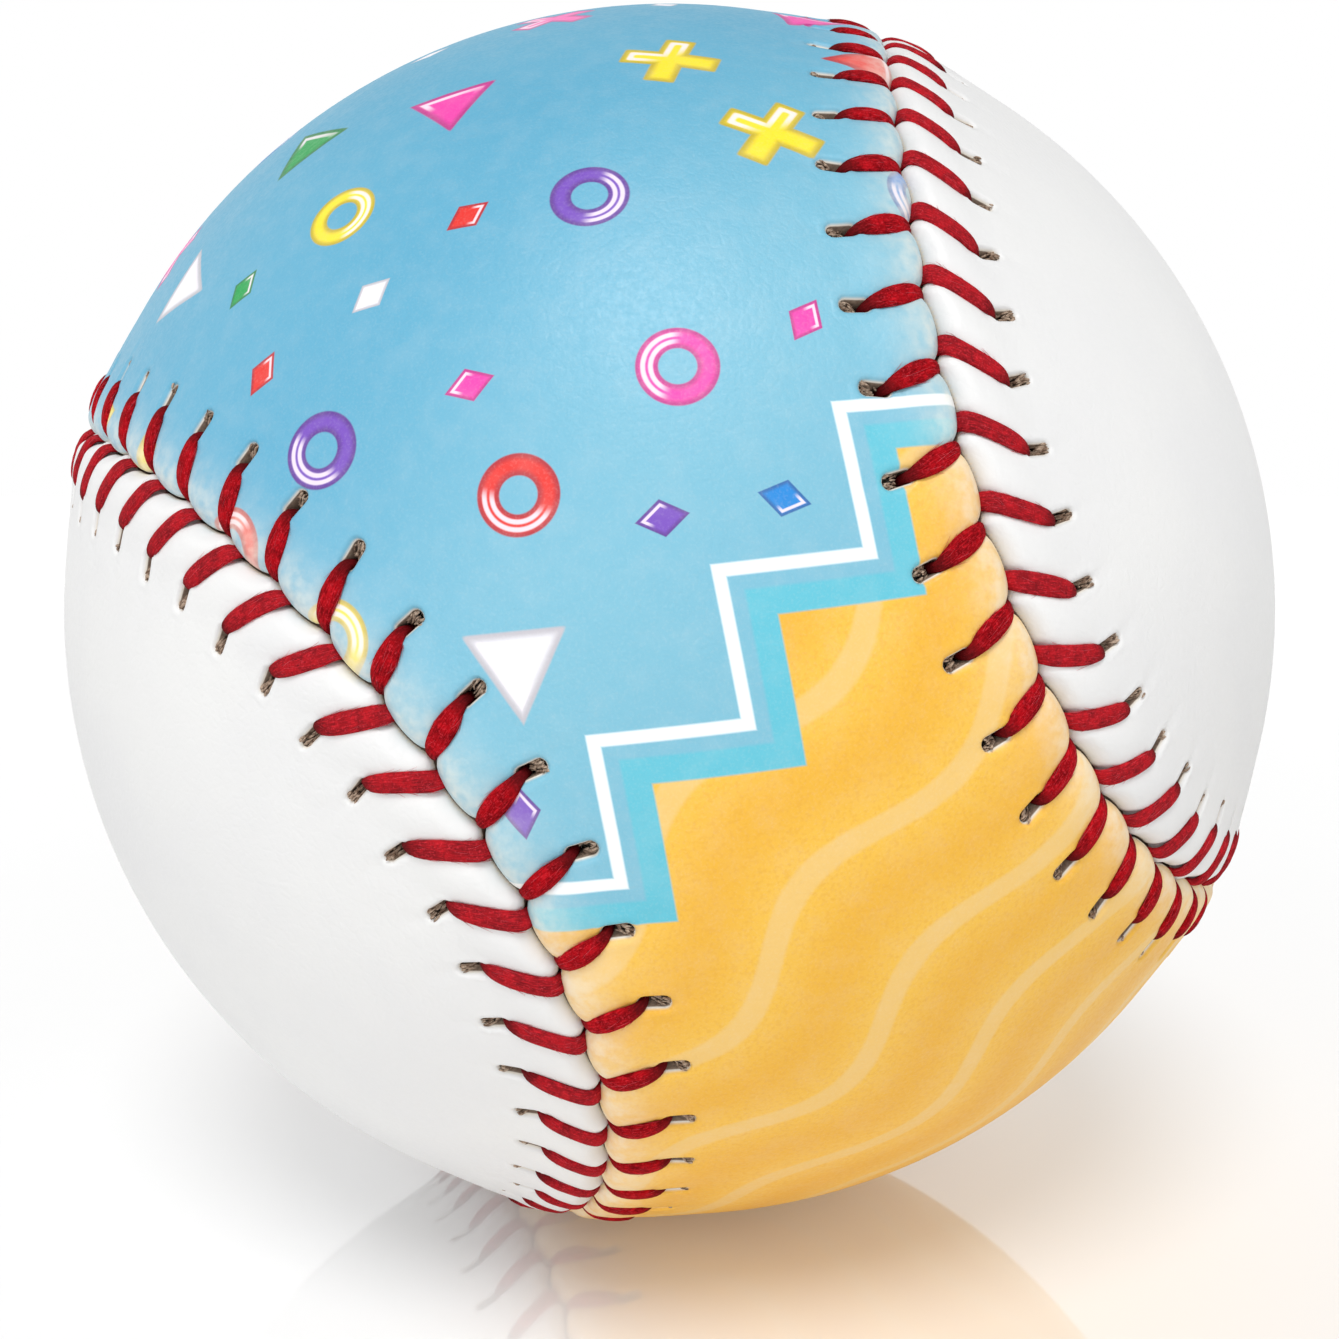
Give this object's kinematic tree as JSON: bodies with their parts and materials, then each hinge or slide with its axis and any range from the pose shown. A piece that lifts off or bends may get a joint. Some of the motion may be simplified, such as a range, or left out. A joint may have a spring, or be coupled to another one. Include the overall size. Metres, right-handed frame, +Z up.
{
  "type": "baseball",
  "caption": "Hard practice ball: a wound core in a leather cover of a printed and a plain panel, laced together by a raised red seam. Thrown, caught and batted.",
  "frame": {"origin": "centre of the ball", "axes": "+Z up as the ball lies, -Y towards the waist of the printed panel, +X to the right of it"},
  "size_m": [0.0734, 0.0739, 0.0734],
  "materials": {
    "printed_leather": "fine-grained white leather with a satin print of sky blue and golden orange",
    "plain_leather": "fine-grained white leather, satin",
    "red_thread": "waxed red cotton strand, slightly frayed",
    "finishing_yarn": "off-white fine yarn, matte",
    "grey_yarn": "grey wool yarn, fuzzy",
    "white_yarn": "white wool yarn, fuzzy",
    "red_rubber": "matte moulded rubber",
    "black_rubber": "matte moulded rubber",
    "cork": "fine composition cork, matte"
  },
  "bodies": {
    "root": {"cork_centre": "cork", "cushion_washer": "red_rubber", "rubber_cup_upper": "black_rubber", "rubber_cup_lower": "black_rubber", "rubber_jacket_upper": "red_rubber", "rubber_jacket_lower": "red_rubber", "first_winding": "grey_yarn", "second_winding": "white_yarn", "third_winding": "grey_yarn", "finishing_winding": "finishing_yarn", "cover_panel_printed": "printed_leather", "cover_panel_plain": "plain_leather", "seam_thread_a": "red_thread", "seam_thread_b": "red_thread"}
  },
  "joints": []
}
